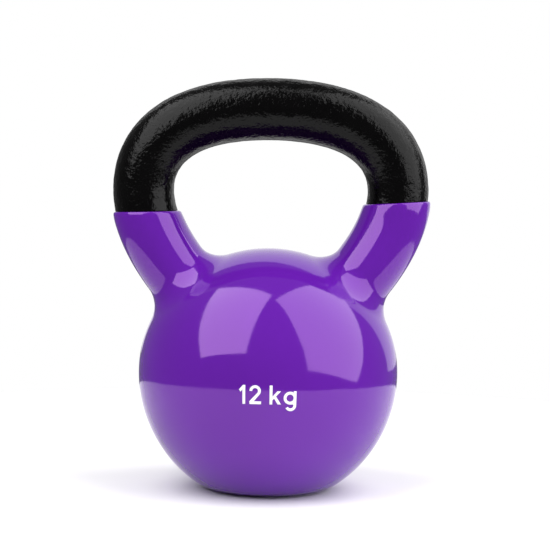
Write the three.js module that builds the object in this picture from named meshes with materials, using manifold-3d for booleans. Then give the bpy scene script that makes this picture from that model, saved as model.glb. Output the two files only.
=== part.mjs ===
// A vinyl-dipped cast-iron kettlebell with a nominal weight of 12 kg, standing on its flat base.
// Millimetres, +Z up. The origin is the middle of the base, and the handle runs along X.
import * as THREE from "three";
import { mergeVertices } from "three/addons/utils/BufferGeometryUtils.js";
import Module from "manifold-3d";

const wasm = await Module();
wasm.setup();

// Driving dimensions. The casting's own sizes come first; each coat is an offset from it.
const BALL_RADIUS = 69.8;
const BALL_CENTRE_Z = 65.7;
const BALL_TOP_HEIGHT = 66.8; // from the ball's centre to its slightly flattened top
const BALL_LOW_HEIGHT = 71.4; // the same downwards, where the lower half would close without its flat base
const BASE_Z = 2.5; // underside of the bare casting
const BASE_EDGE_RADIUS = 1.5; // rounding between the base and the ball
const ROOT_FILLET = 12; // concave rounding where a horn grows out of the ball

const GRIP_TOP_RADIUS = 16.5;
const GRIP_SIDE_RADIUS = 16.2;
const GRIP_TOP_Z = 212.3; // middle of the grip at its highest point
const HANDLE_SIDE_X = 70.9; // middle of the handle at its widest point
const HANDLE_SIDE_Z = 167.5;
const SHOULDER_Z = 196.5; // above this the grip has its full top radius
const ROOT_X = 31.1; // where a horn's middle line ends, inside the ball
const ROOT_Z = 100.3;
const CROWN_REACH = 57.8; // how far the middle line's curves reach on from each of these places
const SHOULDER_REACH = 19.5;
const HORN_REACH = 26.5;
const ROOT_REACH_X = 16;
const ROOT_REACH_Z = 13.5;
const HORN_FLARE = 9; // a horn is this much deeper from front to back, each way, where its middle line ends

const VINYL = 2.2; // thickness of the dipped coat
const ENAMEL = 0.4;
const INK = 0.3;
const CLEARANCE = 0.3; // between pieces that touch

const DIP_Z = 158.2; // level of the collars at the middle of the bell
const DIP_TILT = THREE.MathUtils.degToRad(2.8); // the right collar sits higher than the left

const MARK_HEIGHT = 10; // height of a digit
const MARK_STROKE = 1.5;
const MARK_DROP = 4; // the mark's middle is this far below the ball's centre

const BALL_SEGMENTS = 40;
const ROD_SIDES = 20;
const ROOT_STEP = 3.4; // spacing of the rings where a horn meets the ball
const GRIP_STEP = 8; // spacing of the rings on the rest of the handle
const ROOT_LENGTH = 48; // length of a horn's middle line that the close rings cover
const FILLET_SHARE = 0.8; // share of the fillet's width that a horn's own skin spreads over
const HALVINGS = 40; // steps of the searches for the base's edge and the fillet's surface
const BLOCK_SIZE = 400; // of the blocks that cut the coats at the dip level, larger than the bell

// ---------------------------------------------------------------- solids from three.js geometry

function solid(geometry) {
  const bare = geometry.clone();
  bare.deleteAttribute("normal");
  bare.deleteAttribute("uv");
  const merged = mergeVertices(bare, 1e-4);
  const triVerts = new Uint32Array(merged.index.array);
  const vertProperties = merged.attributes.position.array;
  return new wasm.Manifold(new wasm.Mesh({ numProp: 3, vertProperties, triVerts }));
}

function geometryOf(body) {
  const mesh = body.getMesh();
  const geometry = new THREE.BufferGeometry();
  geometry.setAttribute("position", new THREE.BufferAttribute(mesh.vertProperties, 3));
  geometry.setIndex(new THREE.BufferAttribute(mesh.triVerts, 1));
  geometry.computeVertexNormals();
  return geometry;
}

// ---------------------------------------------------------------- ball

// The arc that rounds the edge between the base and an ellipse: its centre, and the angles at which it
// meets the ellipse, as the ellipse's parameter and as its own.
function baseEdge(radius, lowHeight, edgeRadius) {
  const edgeZ = BASE_Z + BASE_EDGE_RADIUS;
  let low = -Math.PI / 2;
  let high = 0;
  let found;
  for (let i = 0; i < HALVINGS; i += 1) {
    const angle = (low + high) / 2;
    const normal = new THREE.Vector2(Math.cos(angle) / radius, Math.sin(angle) / lowHeight).normalize();
    const x = radius * Math.cos(angle) - edgeRadius * normal.x;
    const z = BALL_CENTRE_Z + lowHeight * Math.sin(angle) - edgeRadius * normal.y;
    found = { x, z, ellipseAngle: angle, arcAngle: Math.atan2(normal.y, normal.x) };
    if (z < edgeZ) {
      low = angle;
    } else {
      high = angle;
    }
  }
  return found;
}

// Half outline of the ball, from the middle of the base to the top, grown by an offset.
function ballProfile(offset) {
  const edgeRadius = BASE_EDGE_RADIUS + offset;
  const radius = BALL_RADIUS + offset;
  const topHeight = BALL_TOP_HEIGHT + offset;
  const lowHeight = BALL_LOW_HEIGHT + offset;
  const { x, z, ellipseAngle, arcAngle } = baseEdge(radius, lowHeight, edgeRadius);
  const edge = new THREE.EllipseCurve(x, z, edgeRadius, edgeRadius, -Math.PI / 2, arcAngle);
  const lower = new THREE.EllipseCurve(0, BALL_CENTRE_Z, radius, lowHeight, ellipseAngle, 0);
  const upper = new THREE.EllipseCurve(0, BALL_CENTRE_Z, radius, topHeight, 0, Math.PI / 2);
  return [
    new THREE.Vector2(0, BASE_Z - offset),
    ...edge.getPoints(2),
    ...lower.getPoints(8).slice(1),
    ...upper.getPoints(10).slice(1, -1),
    new THREE.Vector2(0, BALL_CENTRE_Z + topHeight),
  ];
}

function ball(offset) {
  return solid(new THREE.LatheGeometry(ballProfile(offset), BALL_SEGMENTS).rotateX(Math.PI / 2));
}

// How far a point is outside the ball, grown by an offset.
function ballDistance(point, offset) {
  const height = point.z - BALL_CENTRE_Z;
  const fullHeight = height > 0 ? BALL_TOP_HEIGHT : BALL_LOW_HEIGHT;
  return Math.hypot(point.x, point.y, (height * BALL_RADIUS) / fullHeight) - BALL_RADIUS - offset;
}

// ---------------------------------------------------------------- horns and handle

// Middle line of the handle, from the left root over the top to the right root.
function handlePath() {
  const at = (x, z) => new THREE.Vector3(x, 0, z);
  const halves = [-1, 1].map((side) => ({
    top: new THREE.CubicBezierCurve3(
      at(0, GRIP_TOP_Z),
      at(side * CROWN_REACH, GRIP_TOP_Z),
      at(side * HANDLE_SIDE_X, HANDLE_SIDE_Z + SHOULDER_REACH),
      at(side * HANDLE_SIDE_X, HANDLE_SIDE_Z),
    ),
    horn: new THREE.CubicBezierCurve3(
      at(side * HANDLE_SIDE_X, HANDLE_SIDE_Z),
      at(side * HANDLE_SIDE_X, HANDLE_SIDE_Z - HORN_REACH),
      at(side * (ROOT_X + ROOT_REACH_X), ROOT_Z + ROOT_REACH_Z),
      at(side * ROOT_X, ROOT_Z),
    ),
  }));
  const [left, right] = halves;
  const reversed = (curve) => new THREE.CubicBezierCurve3(curve.v3, curve.v2, curve.v1, curve.v0);
  const path = new THREE.CurvePath();
  path.curves = [reversed(left.horn), reversed(left.top), right.top, right.horn];
  return path;
}

function gripRadius(z) {
  const share = THREE.MathUtils.smoothstep(z, HANDLE_SIDE_Z, SHOULDER_Z);
  return THREE.MathUtils.lerp(GRIP_SIDE_RADIUS, GRIP_TOP_RADIUS, share);
}

// How much further than its radius a horn reaches to the front and to the back.
function hornFlare(z) {
  const share = THREE.MathUtils.clamp((HANDLE_SIDE_Z - z) / (HANDLE_SIDE_Z - ROOT_Z), 0, 1);
  return HORN_FLARE * share * share;
}

// Places of the rings along the middle line, as fractions of its length: close together at the roots.
function ringStations(length) {
  const half = [];
  for (let s = 0; s < ROOT_LENGTH; s += ROOT_STEP) {
    half.push(s / length);
  }
  const gripSteps = Math.ceil((length / 2 - ROOT_LENGTH) / GRIP_STEP);
  for (let i = 0; i < gripSteps; i += 1) {
    half.push(THREE.MathUtils.lerp(ROOT_LENGTH / length, 0.5, i / gripSteps));
  }
  return [...half, 0.5, ...half.map((u) => 1 - u).reverse()];
}

// Distance from the middle line to the surface along one spoke of a ring. The spoke grows where it
// nears the ball, so that the horn runs into the ball with a round fillet.
function spokeLength(centre, spoke, radius, offset) {
  const fillet = ROOT_FILLET - offset;
  const point = new THREE.Vector3();
  const outside = (length) => {
    const fromBall = ballDistance(point.copy(centre).addScaledVector(spoke, length), offset);
    return fillet - Math.hypot(Math.max(fillet - fromBall, 0), fillet - (length - radius));
  };
  let near = radius;
  let far = radius + FILLET_SHARE * fillet;
  if (outside(far) < 0) {
    return far;
  }
  for (let i = 0; i < HALVINGS; i += 1) {
    const middle = (near + far) / 2;
    if (outside(middle) < 0) {
      near = middle;
    } else {
      far = middle;
    }
  }
  return near;
}

// The horns and the handle as one closed bar, grown by an offset.
function handleBar(offset) {
  const path = handlePath();
  const stations = ringStations(path.getLength());
  const across = new THREE.Vector3(0, 1, 0);
  const positions = [];
  const indices = [];
  for (const u of stations) {
    const centre = path.getPointAt(u);
    const outward = path.getTangentAt(u).cross(across);
    const width = gripRadius(centre.z) + offset;
    const depth = width + hornFlare(centre.z);
    for (let side = 0; side < ROD_SIDES; side += 1) {
      const angle = (2 * Math.PI * side) / ROD_SIDES;
      const spoke = outward.clone().multiplyScalar(Math.cos(angle)).addScaledVector(across, Math.sin(angle));
      const radius = 1 / Math.hypot(Math.cos(angle) / width, Math.sin(angle) / depth);
      const length = spokeLength(centre, spoke, radius, offset);
      positions.push(...centre.clone().addScaledVector(spoke, length));
    }
  }
  const corner = (ring, side) => ring * ROD_SIDES + (side % ROD_SIDES);
  const lastRing = stations.length - 1;
  for (let side = 0; side < ROD_SIDES; side += 1) {
    for (let ring = 0; ring < lastRing; ring += 1) {
      indices.push(corner(ring, side), corner(ring + 1, side + 1), corner(ring, side + 1));
      indices.push(corner(ring, side), corner(ring + 1, side), corner(ring + 1, side + 1));
    }
  }
  for (let side = 1; side < ROD_SIDES - 1; side += 1) {
    indices.push(corner(0, 0), corner(0, side), corner(0, side + 1));
    indices.push(corner(lastRing, 0), corner(lastRing, side + 1), corner(lastRing, side));
  }
  const geometry = new THREE.BufferGeometry();
  geometry.setAttribute("position", new THREE.Float32BufferAttribute(positions, 3));
  geometry.setIndex(indices);
  return solid(geometry);
}

// ---------------------------------------------------------------- whole bell and its coats

function bell(offset) {
  return ball(offset).add(handleBar(offset));
}

// Everything below (side -1) or above (side 1) the tilted level that the bell was dipped to.
function dipSide(side, gap) {
  const block = new THREE.BoxGeometry(BLOCK_SIZE, BLOCK_SIZE, BLOCK_SIZE);
  block.translate(0, 0, side * (BLOCK_SIZE / 2 + gap));
  block.rotateY(-DIP_TILT);
  block.translate(0, 0, DIP_Z);
  return solid(block);
}

function vinylJacket() {
  const outside = bell(CLEARANCE + VINYL).intersect(dipSide(-1, 0));
  return outside.subtract(bell(CLEARANCE));
}

function handleEnamel() {
  const outside = handleBar(CLEARANCE + ENAMEL).intersect(dipSide(1, CLEARANCE));
  return outside.subtract(handleBar(CLEARANCE));
}

// ---------------------------------------------------------------- printed weight mark

function outline(points) {
  return new THREE.Shape(points.map(([x, y]) => new THREE.Vector2(x, y)));
}

function glyphOne() {
  const top = MARK_HEIGHT;
  const stemRight = 3.4;
  const stemLeft = stemRight - MARK_STROKE;
  return outline([
    [stemRight, 0],
    [stemRight, top],
    [stemLeft + 0.3, top],
    [0, top - 2.4],
    [0.9, top - 3.6],
    [stemLeft, top - 2.3],
    [stemLeft, 0],
  ]);
}

function glyphTwo() {
  const bow = 3; // outer radius of the bow
  const width = 2 * bow + 0.2;
  const middle = MARK_HEIGHT - bow;
  const end = THREE.MathUtils.degToRad(-38); // where the bow runs into the straight stroke
  const shape = new THREE.Shape();
  shape.moveTo(0, 0);
  shape.lineTo(width, 0);
  shape.lineTo(width, MARK_STROKE);
  shape.lineTo(2.3, MARK_STROKE);
  shape.absarc(bow, middle, bow, end, Math.PI, false);
  shape.absarc(bow, middle, bow - MARK_STROKE, Math.PI, end, true);
  shape.lineTo(0, MARK_STROKE);
  return shape;
}

function glyphK() {
  const arm = 0.7 * MARK_HEIGHT; // height of the small letters
  return outline([
    [0, 0],
    [MARK_STROKE, 0],
    [MARK_STROKE, 2.2],
    [2.4, 3.1],
    [4.3, 0],
    [6.1, 0],
    [3.4, 4.2],
    [5.9, arm],
    [4, arm],
    [MARK_STROKE, 4.1],
    [MARK_STROKE, MARK_HEIGHT],
    [0, MARK_HEIGHT],
  ]);
}

function glyphG() {
  const bowl = 3.4; // outer radius of the bowl
  const stemRight = 2 * bowl;
  const stemLeft = stemRight - MARK_STROKE;
  const hook = 1.5; // inner radius of the tail's hook
  const hookZ = -0.6;
  const hookEnd = -0.85 * Math.PI;
  const shape = new THREE.Shape();
  shape.moveTo(stemRight, 0.7 * MARK_HEIGHT);
  shape.lineTo(stemLeft, 0.7 * MARK_HEIGHT);
  shape.absarc(bowl, bowl, bowl, Math.acos(1 - MARK_STROKE / bowl), 1.5 * Math.PI, false);
  shape.lineTo(stemLeft, 0);
  shape.absarc(stemLeft - hook, hookZ, hook, 0, hookEnd, true);
  shape.absarc(stemLeft - hook, hookZ, hook + MARK_STROKE, hookEnd, 0, false);
  const hole = new THREE.Path();
  hole.absarc(bowl, bowl, bowl - MARK_STROKE, 0, 2 * Math.PI, true);
  shape.holes.push(hole);
  return shape;
}

// A glyph as a thin layer that follows the front of the ball's lower half.
function printed(shape, left) {
  const flat = new THREE.ExtrudeGeometry(shape, { depth: INK, bevelEnabled: false, curveSegments: 12 });
  const skin = BALL_RADIUS + 2 * CLEARANCE + VINYL;
  const lowSkin = BALL_LOW_HEIGHT + 2 * CLEARANCE + VINYL;
  const position = flat.attributes.position;
  for (let i = 0; i < position.count; i += 1) {
    const around = (left + position.getX(i)) / skin;
    const up = (position.getY(i) - MARK_HEIGHT / 2 - MARK_DROP) / skin;
    const radius = 1 / Math.hypot(Math.cos(up) / skin, Math.sin(up) / lowSkin) + position.getZ(i);
    position.setXYZ(
      i,
      radius * Math.sin(around) * Math.cos(up),
      -radius * Math.cos(around) * Math.cos(up),
      BALL_CENTRE_Z + radius * Math.sin(up),
    );
  }
  return solid(flat);
}

// ---------------------------------------------------------------- assembly

const CAST_IRON = { color: 0x3a3a3c, roughness: 0.7, metalness: 0.9 };
const PURPLE_VINYL = { color: 0x6a2fb0, roughness: 0.22, metalness: 0 };
const BLACK_ENAMEL = { color: 0x0b0b0d, roughness: 0.35, metalness: 0 };
const WHITE_INK = { color: 0xf2f0f4, roughness: 0.5, metalness: 0 };

const group = new THREE.Group();

function addPiece(name, body, finish) {
  const mesh = new THREE.Mesh(geometryOf(body), new THREE.MeshStandardMaterial(finish));
  mesh.name = name;
  group.add(mesh);
}

addPiece("iron_casting", bell(0), CAST_IRON);
addPiece("vinyl_jacket", vinylJacket(), PURPLE_VINYL);
addPiece("handle_enamel", handleEnamel(), BLACK_ENAMEL);
addPiece("mark_one", printed(glyphOne(), -15.2), WHITE_INK);
addPiece("mark_two", printed(glyphTwo(), -9.6), WHITE_INK);
addPiece("mark_k", printed(glyphK(), 1), WHITE_INK);
addPiece("mark_g", printed(glyphG(), 8.4), WHITE_INK);

export default group;
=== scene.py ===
import math

import bmesh
import bpy
import numpy as np
from mathutils import Matrix, Vector, noise


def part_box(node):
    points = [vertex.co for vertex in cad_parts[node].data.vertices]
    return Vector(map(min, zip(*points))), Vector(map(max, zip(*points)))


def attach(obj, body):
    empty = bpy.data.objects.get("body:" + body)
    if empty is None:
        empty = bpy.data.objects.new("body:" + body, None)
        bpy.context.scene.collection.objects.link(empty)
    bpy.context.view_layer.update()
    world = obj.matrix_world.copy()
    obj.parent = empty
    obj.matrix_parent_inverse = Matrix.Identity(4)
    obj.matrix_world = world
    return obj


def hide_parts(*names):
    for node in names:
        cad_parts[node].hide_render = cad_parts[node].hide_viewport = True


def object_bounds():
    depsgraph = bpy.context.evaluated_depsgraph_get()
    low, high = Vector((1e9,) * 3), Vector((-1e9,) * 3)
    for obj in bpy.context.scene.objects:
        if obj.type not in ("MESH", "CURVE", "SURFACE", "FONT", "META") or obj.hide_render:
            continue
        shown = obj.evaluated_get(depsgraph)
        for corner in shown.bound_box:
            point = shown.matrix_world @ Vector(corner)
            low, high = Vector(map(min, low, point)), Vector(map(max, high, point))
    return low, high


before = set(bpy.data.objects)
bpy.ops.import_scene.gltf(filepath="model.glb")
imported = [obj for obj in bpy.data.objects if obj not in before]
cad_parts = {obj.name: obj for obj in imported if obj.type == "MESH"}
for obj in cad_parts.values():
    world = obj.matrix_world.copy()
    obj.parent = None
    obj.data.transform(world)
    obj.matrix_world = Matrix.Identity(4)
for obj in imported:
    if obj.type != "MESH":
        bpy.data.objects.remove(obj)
cad_low, cad_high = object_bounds()

MM = 0.001

# ---------------------------------------------------------------- sizes, as the CAD has them

jacket_low, jacket_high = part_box("vinyl_jacket")
enamel_low, enamel_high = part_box("handle_enamel")

VINYL = 2.2 * MM
ENAMEL = 0.4 * MM
CLEARANCE = 0.3 * MM
VINYL_OFFSET = CLEARANCE + VINYL  # from the casting to the outside of the vinyl
ENAMEL_OFFSET = CLEARANCE + ENAMEL

BALL_RADIUS = (jacket_high.y - jacket_low.y) / 2  # outside of the vinyl
BALL_CENTRE_Z = 65.7 * MM
BALL_TOP_HEIGHT = 69.3 * MM  # outside of the vinyl, from the ball's centre to its flattened top
BALL_LOW_HEIGHT = 73.9 * MM  # the same downwards, where the lower half would close without its flat base
BASE_EDGE_RADIUS = 4.0 * MM
ROOT_FILLET = 9.5 * MM  # where the outside of a horn meets the outside of the ball

GRIP_TOP_RADIUS = 16.5 * MM
GRIP_SIDE_RADIUS = 16.2 * MM
SHOULDER_Z = 196.5 * MM
GRIP_TOP_Z = enamel_high.z - GRIP_TOP_RADIUS - ENAMEL_OFFSET  # middle of the grip at the crown
HANDLE_SIDE = (70.9 * MM, 167.5 * MM)  # x and z of the middle of the handle where it is widest
ROOT = (31.1 * MM, 100.3 * MM)  # where a horn's middle line ends, inside the ball
CROWN_REACH = 57.8 * MM
SHOULDER_REACH = 19.5 * MM
HORN_REACH = 26.5 * MM
ROOT_REACH = (16.0 * MM, 13.5 * MM)
HORN_FLARE = 9 * MM  # a horn is this much deeper, to the front and to the back, where its middle line ends

DIP_Z = 158.2 * MM
DIP_TILT = math.radians(2.8)
DIP_NORMAL = np.array([-math.sin(DIP_TILT), 0.0, math.cos(DIP_TILT)])
LIP_HEIGHT = 1.7 * MM  # of the rounding at the vinyl's rim
LIP_TAPER = 0.4 * MM  # the vinyl thins out by this much towards its rim
LIP_TAPER_LENGTH = 6 * MM

TINY = 1e-9  # keeps a division from reaching zero
OFF_FILLET = 1e-7  # below this a point lies outside a rounding, where the nearer surface decides
CHUNK = 4000  # points worked on at a time

# ---------------------------------------------------------------- shape of the casting


def bezier(points, count):
    """Points along a cubic curve."""
    t = np.linspace(0, 1, count)[:, None]
    a, b, c, d = (np.array(p, float) for p in points)
    return (1 - t) ** 3 * a + 3 * (1 - t) ** 2 * t * b + 3 * (1 - t) * t**2 * c + t**3 * d


def middle_line(count):
    """Right half of the handle's middle line in x and z, from the crown down to the root."""
    side_x, side_z = HANDLE_SIDE
    root_x, root_z = ROOT
    top = bezier(
        [(0, GRIP_TOP_Z), (CROWN_REACH, GRIP_TOP_Z), (side_x, side_z + SHOULDER_REACH), HANDLE_SIDE],
        count,
    )
    horn = bezier(
        [
            HANDLE_SIDE,
            (side_x, side_z - HORN_REACH),
            (root_x + ROOT_REACH[0], root_z + ROOT_REACH[1]),
            ROOT,
        ],
        count,
    )
    return np.vstack([top, horn[1:]])


LINE_STEPS = 400  # points along each of the middle line's two curves
DIP_MARGIN = 12 * MM  # each coat's stretch of the middle line goes this far past the dip
HORN_STRIDE = 3  # the horns' shape is worked out from every third point

MIDDLE = middle_line(LINE_STEPS)


def grip_radius(z):
    share = np.clip((z - HANDLE_SIDE[1]) / (SHOULDER_Z - HANDLE_SIDE[1]), 0, 1)
    smooth = share * share * (3 - 2 * share)
    return GRIP_SIDE_RADIUS + (GRIP_TOP_RADIUS - GRIP_SIDE_RADIUS) * smooth


def horn_flare(z):
    """How much further than its radius a horn reaches to the front and to the back, and the slope of that."""
    fall = HANDLE_SIDE[1] - ROOT[1]
    share = np.clip((HANDLE_SIDE[1] - z) / fall, 0, 1)
    return HORN_FLARE * share**2, -2 * HORN_FLARE * share / fall


HORN_LINE = MIDDLE[MIDDLE[:, 1] < DIP_Z + DIP_MARGIN][::HORN_STRIDE]


def nearest_on_horn(points):
    """For each point the nearest place on the middle line of its own side, and the line's direction there."""
    side = np.where(points[:, 0] < 0, -1.0, 1.0)
    flat = np.column_stack([points[:, 0] * side, points[:, 2]])
    start = HORN_LINE[:-1]
    along = HORN_LINE[1:] - start
    length2 = (along**2).sum(1)
    place = np.zeros_like(flat)
    heading = np.zeros_like(flat)
    for first in range(0, len(flat), CHUNK):
        part = slice(first, first + CHUNK)
        gap = flat[part, None, :] - start[None]
        t = np.clip((gap * along).sum(2) / length2, 0, 1)
        away = ((gap - t[..., None] * along) ** 2).sum(2)
        best = away.argmin(1)
        t = t[np.arange(len(best)), best]
        place[part] = start[best] + t[:, None] * along[best]
        heading[part] = along[best] / np.sqrt(length2[best])[:, None]
    place[:, 0] *= side
    heading[:, 0] *= side
    return place, heading


def ball_field(points):
    """Distance outside the vinyl's ball, and its gradient."""
    up = points[:, 2] - BALL_CENTRE_Z
    flattening = BALL_RADIUS / np.where(up > 0, BALL_TOP_HEIGHT, BALL_LOW_HEIGHT)
    size = np.sqrt(points[:, 0] ** 2 + points[:, 1] ** 2 + (up * flattening) ** 2)
    slope = np.column_stack([points[:, 0], points[:, 1], up * flattening**2]) / size[:, None]
    return size - BALL_RADIUS, slope


def height_over_dip(points):
    return (points - np.array([0, 0, DIP_Z])) @ DIP_NORMAL


def lip_taper(points):
    """How much thinner the vinyl is near its rim, and the slope of that over the height."""
    share = np.clip(1 + height_over_dip(points) / LIP_TAPER_LENGTH, 0, 1)
    return LIP_TAPER * share**2, 2 * LIP_TAPER * share / LIP_TAPER_LENGTH


def horn_field(points):
    """Distance outside the vinyl's horns, and its gradient. A horn's section is an ellipse."""
    place, heading = nearest_on_horn(points)
    across = points[:, [0, 2]] - place
    aside = np.maximum(np.linalg.norm(across, axis=1), TINY)
    across /= aside[:, None]
    y = points[:, 1]
    flare, flare_slope = horn_flare(place[:, 1])
    width = grip_radius(place[:, 1]) + VINYL_OFFSET
    depth = width + flare
    reach = np.hypot(aside, y)
    ratio = np.maximum(np.hypot(aside / width, y / depth), TINY)
    field = reach * (1 - 1 / ratio)
    pull = reach / ratio**3
    by_aside = aside / reach * (1 - 1 / ratio) + pull * aside / width**2
    by_y = y / reach * (1 - 1 / ratio) + pull * y / depth**2
    by_heading = -pull * y**2 / depth**3 * flare_slope * heading[:, 1]
    slope_x = by_aside * across[:, 0] + by_heading * heading[:, 0]
    slope_z = by_aside * across[:, 1] + by_heading * heading[:, 1]
    slope = np.column_stack([slope_x, by_y, slope_z])
    taper, taper_slope = lip_taper(points)
    return field + taper, slope + np.outer(taper_slope, DIP_NORMAL)


def vinyl_field(points):
    """Distance outside the vinyl: ball and horns joined by a round fillet, cut off flat at the base."""
    ball, ball_slope = ball_field(points)
    horn, horn_slope = horn_field(points)
    u = np.maximum(ROOT_FILLET - ball, 0)
    v = np.maximum(ROOT_FILLET - horn, 0)
    reach = np.hypot(u, v)
    bell = np.maximum(ROOT_FILLET, np.minimum(ball, horn)) - reach
    blend = (u[:, None] * ball_slope + v[:, None] * horn_slope) / np.maximum(reach, TINY)[:, None]
    nearer = np.where((ball < horn)[:, None], ball_slope, horn_slope)
    bell_slope = np.where((reach > OFF_FILLET)[:, None], blend, nearer)
    floor = -points[:, 2]
    floor_slope = np.array([0.0, 0.0, -1.0])
    u = np.maximum(BASE_EDGE_RADIUS + bell, 0)
    v = np.maximum(BASE_EDGE_RADIUS + floor, 0)
    reach = np.hypot(u, v)
    field = np.minimum(-BASE_EDGE_RADIUS, np.maximum(bell, floor)) + reach
    blend = (u[:, None] * bell_slope + v[:, None] * floor_slope) / np.maximum(reach, TINY)[:, None]
    nearer = np.where((bell > floor)[:, None], bell_slope, floor_slope)
    return field, np.where((reach > OFF_FILLET)[:, None], blend, nearer)


# ---------------------------------------------------------------- vinyl jacket

FACE_CELLS = 4  # cells along each side of the ball's six patches
HORN_RINGS = 3  # rings of the cage up each horn
RING_START = 86 * MM  # distance of the lowest ring from the ball's centre, above the fillet
ROUNDS = 4  # rounds of subdivision
NEWTON_STEPS = 6
LIP_STEPS = 10


def horn_rings(side):
    """Centre, outward direction, width and depth of each ring up one horn, from the fillet to the dip."""
    line = MIDDLE
    step = np.gradient(line, axis=0)
    step /= np.linalg.norm(step, axis=1)[:, None]
    gone = np.concatenate([[0], np.cumsum(np.linalg.norm(np.diff(line, axis=0), axis=1))])
    places = np.column_stack([side * line[:, 0], np.zeros(len(line)), line[:, 1]])
    dip = int(np.argmin(np.abs(height_over_dip(places) + LIP_HEIGHT)))
    from_ball = np.hypot(line[:, 0], line[:, 1] - BALL_CENTRE_Z)
    start = int(np.argmin(np.abs(from_ball - RING_START)))
    rings = []
    for s in np.linspace(gone[start], gone[dip], HORN_RINGS):
        i = int(np.argmin(np.abs(gone - s)))
        outward = Vector((-side * step[i, 1], 0, step[i, 0]))
        width = float(grip_radius(line[i, 1])) + VINYL_OFFSET
        depth = width + float(horn_flare(line[i, 1])[0])
        rings.append((Vector(places[i]), outward, width, depth))
    return rings


def cage():
    """Coarse cage of the jacket: a ball of six patches, two of them opened and drawn up the horns."""
    bm = bmesh.new()
    half = FACE_CELLS // 2
    turn = Matrix.Rotation(math.radians(45), 3, "Y")
    along_y = Vector((0, 1, 0))
    patches = [
        (Vector((0, 0, 1)), Vector((1, 0, 0)), along_y, 1),
        (Vector((-1, 0, 0)), Vector((0, 0, -1)), along_y, -1),
        (Vector((0, 0, -1)), Vector((-1, 0, 0)), along_y, 0),
        (Vector((1, 0, 0)), Vector((0, 0, -1)), along_y, 0),
        (Vector((0, -1, 0)), Vector((1, 0, 0)), Vector((0, 0, 1)), 0),
        (Vector((0, 1, 0)), Vector((-1, 0, 0)), Vector((0, 0, 1)), 0),
    ]
    known = {}

    def corner(patch, i, j):
        out, across, up, _ = patch
        u = math.tan(math.radians(45) * (i - half) / half)
        v = math.tan(math.radians(45) * (j - half) / half)
        place = turn @ (out + u * across + v * up).normalized() * BALL_RADIUS
        key = tuple(round(c / MM, 1) + 0.0 for c in place)
        if key not in known:
            known[key] = bm.verts.new(place + Vector((0, 0, BALL_CENTRE_Z)))
        return known[key]

    for patch in patches:
        horn_side = patch[3]
        inner = range(1, FACE_CELLS - 1)
        for i in range(FACE_CELLS):
            for j in range(FACE_CELLS):
                if horn_side and i in inner and j in inner:
                    continue
                cell = [(i, j), (i + 1, j), (i + 1, j + 1), (i, j + 1)]
                bm.faces.new([corner(patch, *c) for c in cell])
        if not horn_side:
            continue
        low, high = 1, FACE_CELLS - 1
        around = [(i, low) for i in range(low, high)]
        around += [(high, j) for j in range(low, high)]
        around += [(i, high) for i in range(high, low, -1)]
        around += [(low, j) for j in range(high, low, -1)]
        ring = [corner(patch, *c) for c in around]
        angles = [math.atan2(j - half, i - half) for i, j in around]
        for centre, outward, width, depth in horn_rings(horn_side):
            arms = [outward * width * math.cos(a) + along_y * depth * math.sin(a) for a in angles]
            upper = [bm.verts.new(centre + arm) for arm in arms]
            for k in range(len(ring)):
                n = (k + 1) % len(ring)
                bm.faces.new([ring[k], ring[n], upper[n], upper[k]])
            ring = upper
    bmesh.ops.recalc_face_normals(bm, faces=bm.faces)
    mesh = bpy.data.meshes.new("vinyl_cage")
    bm.to_mesh(mesh)
    bm.free()
    return mesh


def rim_vertices(mesh):
    """True for each vertex on an open edge."""
    bm = bmesh.new()
    bm.from_mesh(mesh)
    rim = np.array([v.is_boundary for v in bm.verts])
    bm.free()
    return rim


def coordinates(mesh):
    co = np.zeros(len(mesh.vertices) * 3, np.float32)
    mesh.vertices.foreach_get("co", co)
    return co.reshape(-1, 3).astype(float)


def onto_vinyl(mesh):
    """Moves every vertex onto the vinyl's outside, and the open rims onto the level just under the lip."""
    points = coordinates(mesh)
    rim = rim_vertices(mesh)
    for _ in range(NEWTON_STEPS):
        field, slope = vinyl_field(points)
        flat = slope - np.outer(slope @ DIP_NORMAL, DIP_NORMAL)
        slope = np.where(rim[:, None], flat, slope)
        points -= slope * (field / (slope**2).sum(1))[:, None]
        drop = height_over_dip(points) + LIP_HEIGHT
        points -= np.outer(np.where(rim, drop, 0), DIP_NORMAL)
    mesh.vertices.foreach_set("co", points.astype(np.float32).ravel())
    mesh.update()


def subdivided(mesh):
    """One round of Catmull-Clark subdivision."""
    holder = bpy.data.objects.new("subdivision", mesh)
    bpy.context.scene.collection.objects.link(holder)
    rounds = holder.modifiers.new("rounds", "SUBSURF")
    rounds.levels = 1
    depsgraph = bpy.context.evaluated_depsgraph_get()
    finer = bpy.data.meshes.new_from_object(holder.evaluated_get(depsgraph))
    bpy.data.objects.remove(holder)
    bpy.data.meshes.remove(mesh)
    return finer


def vinyl_skin():
    mesh = cage()
    onto_vinyl(mesh)
    for _ in range(ROUNDS):
        mesh = subdivided(mesh)
        onto_vinyl(mesh)
    return mesh


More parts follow.
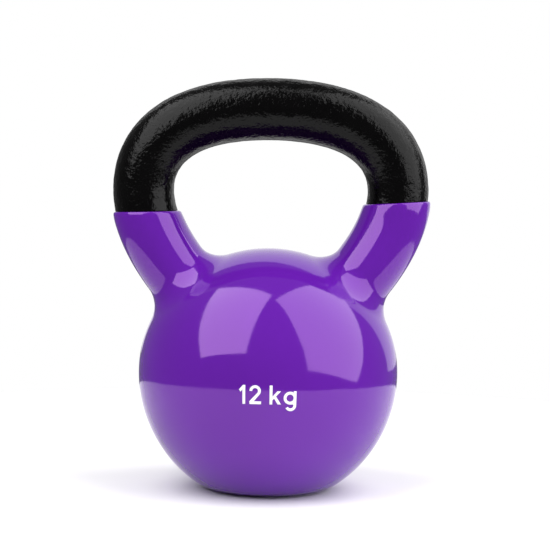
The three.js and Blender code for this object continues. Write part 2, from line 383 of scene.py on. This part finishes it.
def with_thickness(skin):
    """Closed shell from the vinyl's outside: an inner wall, and a rounded lip at each rim."""
    points = coordinates(skin)
    _, slope = vinyl_field(points)
    normal = slope / np.linalg.norm(slope, axis=1)[:, None]
    thickness = VINYL - lip_taper(points)[0]
    bm = bmesh.new()
    bm.from_mesh(skin)
    bm.verts.ensure_lookup_table()
    outer = list(bm.verts)
    outer_faces = list(bm.faces)
    rim_edges = [e for e in bm.edges if e.is_boundary]
    inner = [bm.verts.new(points[i] - normal[i] * thickness[i]) for i in range(len(outer))]
    for face in outer_faces:
        bm.faces.new([inner[v.index] for v in reversed(face.verts)])
    columns = {}
    for v in [v for v in outer if v.is_boundary]:
        i = v.index
        rise = DIP_NORMAL - normal[i] * (DIP_NORMAL @ normal[i])
        rise /= np.linalg.norm(rise)
        column = [v]
        for k in range(1, LIP_STEPS):
            angle = math.pi * k / LIP_STEPS
            across = normal[i] * thickness[i] / 2 * (math.cos(angle) - 1)
            column.append(bm.verts.new(points[i] + across + rise * LIP_HEIGHT * math.sin(angle)))
        columns[v] = [*column, inner[i]]
    for edge in rim_edges:
        loop = edge.link_loops[0]
        first, second = columns[loop.link_loop_next.vert], columns[loop.vert]
        for k in range(LIP_STEPS):
            bm.faces.new([first[k], second[k], second[k + 1], first[k + 1]])
    mesh = bpy.data.meshes.new("vinyl")
    bm.to_mesh(mesh)
    bm.free()
    return mesh


def add_piece(name, mesh, replaced):
    piece = bpy.data.objects.new(name, mesh)
    bpy.context.scene.collection.objects.link(piece)
    mesh.shade_smooth()
    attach(piece, "root")
    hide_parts(*replaced)
    return piece


# ---------------------------------------------------------------- enamelled handle

SIDES = 176
GRIP_RINGS = 420
INNER_STRIDE = 6  # the hidden inner wall has a ring for every sixth outer one
ENAMEL_GAP = -0.2 * MM  # the enamel runs this far under the top of the lips
# size and height of the casting's unevenness
CAST_WAVES = [(9 * MM, 0.10 * MM), (3.2 * MM, 0.08 * MM), (1.6 * MM, 0.06 * MM)]


def handle_grid(offset, rings):
    """Points on the handle, grown by an offset, as rings from the left lip to the right lip."""
    right = MIDDLE[MIDDLE[:, 1] > DIP_Z - DIP_MARGIN]
    line = np.vstack([right[::-1] * [-1, 1], right[1:]])
    step = np.gradient(line, axis=0)
    step /= np.linalg.norm(step, axis=1)[:, None]
    outward = np.column_stack([-step[:, 1], step[:, 0]])
    gone = np.concatenate([[0], np.cumsum(np.linalg.norm(np.diff(line, axis=0), axis=1))])
    width = grip_radius(line[:, 1]) + offset
    depth = width + horn_flare(line[:, 1])[0]
    middle = len(line) // 2
    grid = np.zeros((rings + 1, SIDES, 3))
    for k in range(SIDES):
        angle = 2 * math.pi * k / SIDES
        column = np.column_stack(
            [
                line[:, 0] + outward[:, 0] * width * math.cos(angle),
                depth * math.sin(angle),
                line[:, 1] + outward[:, 1] * width * math.cos(angle),
            ]
        )
        height = height_over_dip(column) - ENAMEL_GAP
        start = np.interp(0, height[:middle], gone[:middle])
        end = np.interp(0, -height[middle:], gone[middle:])
        places = np.linspace(start, end, rings + 1)
        for axis in range(3):
            grid[:, k, axis] = np.interp(places, gone, column[:, axis])
    return grid


def cast_height(place):
    return sum(high * noise.noise(place / size) for size, high in CAST_WAVES)


def handle_mesh():
    """Closed shell of enamel with the casting's uneven skin, one end at each lip."""
    outer = handle_grid(ENAMEL_OFFSET, GRIP_RINGS)
    inner = handle_grid(CLEARANCE, GRIP_RINGS)[::INNER_STRIDE]
    shell = np.vstack([outer, inner[::-1]])
    out = outer - handle_grid(0, GRIP_RINGS)
    out /= np.linalg.norm(out, axis=2)[..., None]
    for ring in range(1, GRIP_RINGS):
        for k in range(SIDES):
            shell[ring, k] += out[ring, k] * cast_height(Vector(outer[ring, k]))
    count = len(shell)
    faces = []
    for ring in range(count):
        following = (ring + 1) % count
        for k in range(SIDES):
            n = (k + 1) % SIDES
            faces.append(
                (ring * SIDES + k, ring * SIDES + n, following * SIDES + n, following * SIDES + k)
            )
    mesh = bpy.data.meshes.new("enamel")
    mesh.from_pydata(shell.reshape(-1, 3).tolist(), [], faces)
    bm = bmesh.new()
    bm.from_mesh(mesh)
    bmesh.ops.recalc_face_normals(bm, faces=bm.faces)
    bm.to_mesh(mesh)
    bm.free()
    return mesh


# ---------------------------------------------------------------- printed weight mark

PRINT_GAP = 0.03 * MM
PRINT_THICKNESS = 0.09 * MM
PRINT_CELL = 1.2 * MM  # no edge of the print is longer than this
PRINT_ROUNDS = 4
PRINT_FACES_OUT = 0.7  # least cosine between an upper face and the way out from the ball
PRINT_WELD = 0.001 * MM
PRINT_SLIVER = 0.005 * MM  # edges and faces thinner than this are merged away


def print_mesh(node):
    """The CAD mark's outline as a thin film of ink that lies on the ball's lower half."""
    bm = bmesh.new()
    bm.from_mesh(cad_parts[node].data)
    bmesh.ops.remove_doubles(bm, verts=bm.verts, dist=PRINT_WELD)
    centre = Vector((0, 0, BALL_CENTRE_Z))
    for _ in range(PRINT_ROUNDS):
        long_edges = [e for e in bm.edges if e.calc_length() > PRINT_CELL]
        bmesh.ops.subdivide_edges(bm, edges=long_edges, cuts=1)
        bmesh.ops.triangulate(bm, faces=bm.faces)
        bmesh.ops.dissolve_degenerate(bm, dist=PRINT_SLIVER, edges=bm.edges)
    bmesh.ops.triangulate(bm, faces=bm.faces)
    bm.normal_update()
    upper = set()
    for face in bm.faces:
        if face.normal.dot((face.calc_center_median() - centre).normalized()) > PRINT_FACES_OUT:
            upper.update(face.verts)
    for v in bm.verts:
        rise = PRINT_GAP + (PRINT_THICKNESS if v in upper else 0)
        out = (v.co - centre).normalized()
        radius = 1 / math.hypot(math.hypot(out.x, out.y) / BALL_RADIUS, out.z / BALL_LOW_HEIGHT)
        v.co = centre + out * (radius + rise)
    mesh = bpy.data.meshes.new(node + "_ink")
    bm.to_mesh(mesh)
    bm.free()
    return mesh


# ---------------------------------------------------------------- materials


class Graph:
    """A node tree, and short calls to add nodes to it."""

    def __init__(self, tree):
        self.tree = tree

    def feed(self, socket, value):
        if isinstance(value, bpy.types.NodeSocket):
            self.tree.links.new(value, socket)
        else:
            socket.default_value = value

    def add(self, kind, inputs=(), **settings):
        node = self.tree.nodes.new(kind)
        for key, value in settings.items():
            setattr(node, key, value)
        for key, value in dict(inputs).items():
            self.feed(node.inputs[key], value)
        return node

    def span(self, value, low, high, to_low=0.0, to_high=1.0):
        inputs = {"Value": value, "From Min": low, "From Max": high, "To Min": to_low, "To Max": to_high}
        return self.add("ShaderNodeMapRange", inputs).outputs["Result"]

    def math(self, operation, first, second):
        return self.add("ShaderNodeMath", {0: first, 1: second}, operation=operation).outputs[0]

    def axes(self, vector):
        parts = self.add("ShaderNodeSeparateXYZ", {"Vector": vector}).outputs
        return parts["X"], parts["Y"], parts["Z"]


class Finish(Graph):
    """A material with a Principled shader."""

    def __init__(self, name):
        self.material = bpy.data.materials.new(name)
        self.material.use_nodes = True
        super().__init__(self.material.node_tree)
        self.shader = self.tree.nodes["Principled BSDF"]
        self.place = self.add("ShaderNodeTexCoord").outputs["Object"]

    def set(self, **values):
        for key, value in values.items():
            self.feed(self.shader.inputs[key.replace("_", " ")], value)

    def noise(self, size, detail=3.0, roughness=0.5, distortion=0.0):
        inputs = {
            "Vector": self.place,
            "Scale": 1 / size,
            "Detail": detail,
            "Roughness": roughness,
            "Distortion": distortion,
        }
        return self.add("ShaderNodeTexNoise", inputs).outputs["Fac"]

    def mix(self, share, first, second):
        return self.add("ShaderNodeMix", {0: share, 6: first, 7: second}, data_type="RGBA").outputs[2]

    def bump(self, height, distance, normal=None):
        node = self.add("ShaderNodeBump", {"Height": height, "Distance": distance})
        if normal is not None:
            self.feed(node.inputs["Normal"], normal)
        return node.outputs["Normal"]


def vinyl_material():
    m = Finish("purple_vinyl")
    z = m.axes(m.place)[2]
    cloud = m.span(m.noise(60 * MM, 2), 0.35, 0.65)
    colour = m.mix(cloud, (0.092, 0.0082, 0.276, 1), (0.098, 0.0088, 0.294, 1))
    scuffs = m.math("MULTIPLY", m.span(z, 3.2 * MM, 0.6 * MM), m.span(m.noise(1.6 * MM, 5), 0.45, 0.62))
    colour = m.mix(m.math("MULTIPLY", scuffs, 0.35), colour, (0.30, 0.18, 0.45, 1))
    gloss = m.span(m.noise(14 * MM, 4), 0.3, 0.7, 0.05, 0.10)
    rough = m.math("ADD", gloss, m.math("MULTIPLY", scuffs, 0.35))
    peel = m.bump(m.noise(7 * MM, 2), 0.02 * MM)
    waves = m.bump(m.noise(28 * MM, 1), 0.10 * MM, normal=peel)
    m.set(Base_Color=colour, Roughness=rough, Normal=waves)
    m.set(IOR=1.5, Specular_IOR_Level=0.75, Specular_Tint=(0.90, 0.50, 1.0, 1))
    return m.material


def enamel_material():
    m = Finish("black_enamel")
    cloud = m.span(m.noise(9 * MM, 3), 0.35, 0.65)
    colour = m.mix(cloud, (0.0005, 0.0004, 0.0005, 1), (0.0010, 0.0009, 0.0010, 1))
    high_spots = m.span(m.noise(1.8 * MM, 5, 0.6), 0.62, 0.72)
    colour = m.mix(m.math("MULTIPLY", high_spots, 0.3), colour, (0.006, 0.0055, 0.006, 1))
    facing = m.add("ShaderNodeLayerWeight", {"Blend": 0.5}).outputs["Facing"]
    gloss = m.span(m.noise(5 * MM, 4), 0.3, 0.7, 0.06, 0.14)
    rough = m.math("ADD", gloss, m.span(facing, 0.6, 0.95, 0.0, 0.5))
    grain = m.bump(m.noise(1.5 * MM, 2, 0.5, 0.6), 0.22 * MM)
    hammer = m.bump(m.noise(4.5 * MM, 2, 0.5, 0.4), 0.3 * MM, normal=grain)
    m.set(Base_Color=colour, Roughness=rough, Normal=hammer, IOR=1.45, Specular_IOR_Level=0.18)
    return m.material


def ink_material():
    m = Finish("white_ink")
    cloud = m.span(m.noise(3 * MM, 4), 0.3, 0.7)
    colour = m.mix(cloud, (0.80, 0.79, 0.82, 1), (0.90, 0.89, 0.92, 1))
    rough = m.span(m.noise(0.8 * MM, 4), 0.3, 0.7, 0.38, 0.5)
    weave = m.bump(m.noise(0.5 * MM, 3), 0.02 * MM)
    m.set(Base_Color=colour, Roughness=rough, Normal=weave, IOR=1.48)
    return m.material


def iron_material():
    m = Finish("cast_iron")
    cloud = m.span(m.noise(12 * MM, 4), 0.3, 0.7)
    colour = m.mix(cloud, (0.085, 0.083, 0.082, 1), (0.14, 0.135, 0.13, 1))
    rust = m.span(m.noise(6 * MM, 6, 0.6), 0.62, 0.72)
    colour = m.mix(m.math("MULTIPLY", rust, 0.5), colour, (0.13, 0.055, 0.025, 1))
    rough = m.span(m.noise(4 * MM, 4), 0.3, 0.7, 0.5, 0.72)
    sand = m.bump(m.noise(1.1 * MM, 5, 0.6), 0.25 * MM)
    m.set(Base_Color=colour, Roughness=rough, Normal=sand, Metallic=0.75)
    return m.material


def floor_material():
    """Plain pale paper."""
    m = Finish("pale_floor")
    cloud = m.span(m.noise(40 * MM, 3), 0.3, 0.7)
    colour = m.mix(cloud, (*[FLOOR_SHADE] * 3, 1), (*[FLOOR_SHADE * FLOOR_CLOUD] * 3, 1))
    m.set(Base_Color=colour, Roughness=0.9, Specular_IOR_Level=0.0)
    return m.material


# ---------------------------------------------------------------- the object

vinyl = add_piece("vinyl_coat", with_thickness(vinyl_skin()), ["vinyl_jacket"])
vinyl.data.materials.append(vinyl_material())
enamel = add_piece("handle_coat", handle_mesh(), ["handle_enamel"])
enamel.data.materials.append(enamel_material())
ink = ink_material()
for mark in ("mark_one", "mark_two", "mark_k", "mark_g"):
    film = add_piece(mark + "_film", print_mesh(mark), [mark])
    film.data.materials.append(ink)
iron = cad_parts["iron_casting"]
iron.data.materials.clear()
iron.data.materials.append(iron_material())

# ---------------------------------------------------------------- studio

LIGHT_DISTANCE = 0.9  # from the ball's centre
ROOM_LIGHT = 0.2  # dim and even all round


def panel(name, bearing, height_angle, roll, width, height, strength):
    """A flat rectangular light that faces the ball. Angles are in degrees, and bearings go round from +X."""
    turn = Matrix.Rotation(math.radians(bearing), 3, "Z")
    turn @= Matrix.Rotation(math.radians(-height_angle), 3, "Y")
    turn @= Matrix.Rotation(math.radians(roll), 3, "X")
    centre = Vector((0, 0, BALL_CENTRE_Z)) + turn @ Vector((LIGHT_DISTANCE, 0, 0))
    corners = [(-1, -1), (1, -1), (1, 1), (-1, 1)]
    places = [centre + turn @ Vector((0, y * width / 2, z * height / 2)) for y, z in corners]
    mesh = bpy.data.meshes.new(name)
    mesh.from_pydata([tuple(place) for place in places], [], [(0, 1, 2, 3)])
    box = bpy.data.objects.new(name, mesh)
    bpy.context.scene.collection.objects.link(box)
    box.visible_camera = False
    material = bpy.data.materials.new(name)
    material.use_nodes = True
    graph = Graph(material.node_tree)
    graph.tree.nodes.clear()
    light = graph.add("ShaderNodeEmission", {"Strength": strength})
    graph.add("ShaderNodeOutputMaterial", {"Surface": light.outputs["Emission"]})
    mesh.materials.append(material)


panel("left_softbox", bearing=218, height_angle=50, roll=20, width=0.75, height=1.1, strength=4.0)
panel("right_softbox", bearing=-20, height_angle=38, roll=-20, width=1.05, height=1.4, strength=3.2)
panel("backdrop", bearing=75, height_angle=25, roll=0, width=1.5, height=1.0, strength=1.1)

FLOOR_RADIUS = 0.45
FLOOR_SHADE = 0.88
FLOOR_CLOUD = 1.02  # how much paler the floor gets in patches
FLOOR_SIDES = 128

floor_mesh = bpy.data.meshes.new("floor")
floor_bm = bmesh.new()
bmesh.ops.create_circle(floor_bm, cap_ends=True, segments=FLOOR_SIDES, radius=FLOOR_RADIUS)
floor_bm.to_mesh(floor_mesh)
floor_bm.free()
floor = bpy.data.objects.new("floor", floor_mesh)
floor.location.z = cad_low.z
bpy.context.scene.collection.objects.link(floor)
floor_mesh.materials.append(floor_material())


def make_world():
    """White behind the object for the camera, and a dim, even room for everything else."""
    world = bpy.data.worlds.new("studio")
    bpy.context.scene.world = world
    world.use_nodes = True
    g = Graph(world.node_tree)
    g.tree.nodes.clear()
    camera_ray = g.add("ShaderNodeLightPath").outputs["Is Camera Ray"]
    strength = g.span(camera_ray, 0, 1, ROOM_LIGHT, 1.0)
    room = g.add("ShaderNodeBackground", {"Color": (1, 1, 1, 1), "Strength": strength})
    g.add("ShaderNodeOutputWorld", {"Surface": room.outputs[0]})


make_world()

# ---------------------------------------------------------------- camera

CAMERA_DISTANCE = 0.984
CAMERA_HEIGHT = 0.178
AIM_HEIGHT = 0.12
CAMERA_ROLL = math.radians(0.89)
CAMERA_LENS = 115.4  # mm, on a sensor 36 mm wide
CAMERA_SHIFT = 0.00995

camera_data = bpy.data.cameras.new("camera")
camera_data.lens = CAMERA_LENS
camera_data.sensor_width = 36
camera_data.shift_x = CAMERA_SHIFT
camera = bpy.data.objects.new("camera", camera_data)
bpy.context.scene.collection.objects.link(camera)
pitch = math.atan2(CAMERA_HEIGHT - AIM_HEIGHT, CAMERA_DISTANCE)
level = Matrix.Rotation(math.pi / 2 - pitch, 4, "X")
camera.matrix_world = (
    Matrix.Translation((0, -CAMERA_DISTANCE, CAMERA_HEIGHT)) @ level @ Matrix.Rotation(CAMERA_ROLL, 4, "Z")
)
bpy.context.scene.camera = camera
bpy.context.scene.view_settings.view_transform = "Standard"
